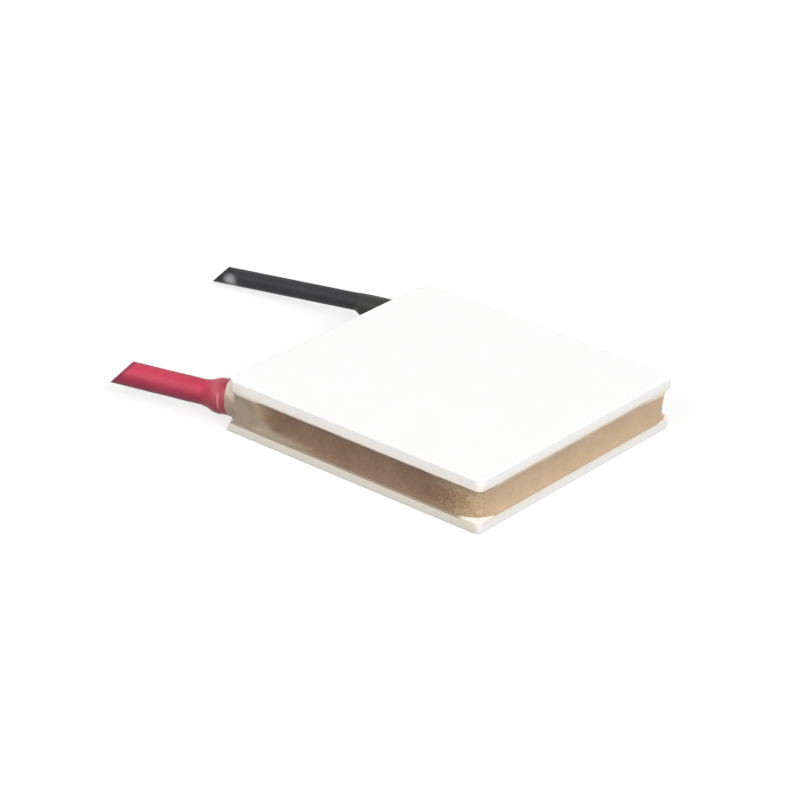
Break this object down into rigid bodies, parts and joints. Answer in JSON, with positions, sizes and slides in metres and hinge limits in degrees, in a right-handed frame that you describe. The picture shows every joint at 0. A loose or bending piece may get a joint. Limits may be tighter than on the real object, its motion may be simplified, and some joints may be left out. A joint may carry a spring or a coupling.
{
  "type": "thermoelectric cooling module",
  "caption": "Square solid-state heat pump: two white ceramic plates with a sealed grid of semiconductor couples between them and two short soldered leads.",
  "frame": {"origin": "centre of the hot face, the outer face of the lower ceramic plate, on which the module rests", "axes": "+Z from the hot face to the cold face; the leads leave the -X side, the red one at its -Y end and the black one at its +Y end"},
  "size_m": [0.035, 0.0217, 0.0036],
  "materials": {
    "alumina": "fired and lapped, matt",
    "seal_rubber": "cured silicone sealant, slightly translucent, with small bubbles",
    "solder": "frozen solder, satin",
    "copper": "bright copper",
    "copper_strand": "drawn copper wire",
    "n_semiconductor": "sawn bismuth telluride, n type",
    "p_semiconductor": "sawn bismuth telluride, p type",
    "red_pvc": "smooth extruded insulation, low sheen",
    "black_pvc": "smooth extruded insulation, low sheen",
    "red_film": "heat-shrunk sleeve, semi-gloss",
    "black_film": "heat-shrunk sleeve, semi-gloss"
  },
  "bodies": {
    "root": {"hot_plate": "alumina", "cold_plate": "alumina", "edge_seal": "seal_rubber", "hot_solder": "solder", "cold_solder": "solder", "hot_tabs_row_1": "copper", "hot_tabs_row_2": "copper", "hot_tabs_row_3": "copper", "hot_tabs_row_4": "copper", "hot_tabs_row_5": "copper", "hot_tabs_row_6": "copper", "hot_tabs_row_7": "copper", "hot_tabs_row_8": "copper", "cold_tabs_row_1": "copper", "cold_tabs_row_2": "copper", "cold_tabs_row_3": "copper", "cold_tabs_row_4": "copper", "cold_tabs_row_5": "copper", "cold_tabs_row_6": "copper", "cold_tabs_row_7": "copper", "cold_tabs_row_8": "copper", "n_pellets_row_1": "n_semiconductor", "n_pellets_row_2": "n_semiconductor", "n_pellets_row_3": "n_semiconductor", "n_pellets_row_4": "n_semiconductor", "n_pellets_row_5": "n_semiconductor", "n_pellets_row_6": "n_semiconductor", "n_pellets_row_7": "n_semiconductor", "n_pellets_row_8": "n_semiconductor", "p_pellets_row_1": "p_semiconductor", "p_pellets_row_2": "p_semiconductor", "p_pellets_row_3": "p_semiconductor", "p_pellets_row_4": "p_semiconductor", "p_pellets_row_5": "p_semiconductor", "p_pellets_row_6": "p_semiconductor", "p_pellets_row_7": "p_semiconductor", "p_pellets_row_8": "p_semiconductor", "red_joint": "solder", "red_conductor": "copper_strand", "red_insulation": "red_pvc", "red_sleeve": "red_film", "black_joint": "solder", "black_conductor": "copper_strand", "black_insulation": "black_pvc", "black_sleeve": "black_film"}
  },
  "joints": []
}
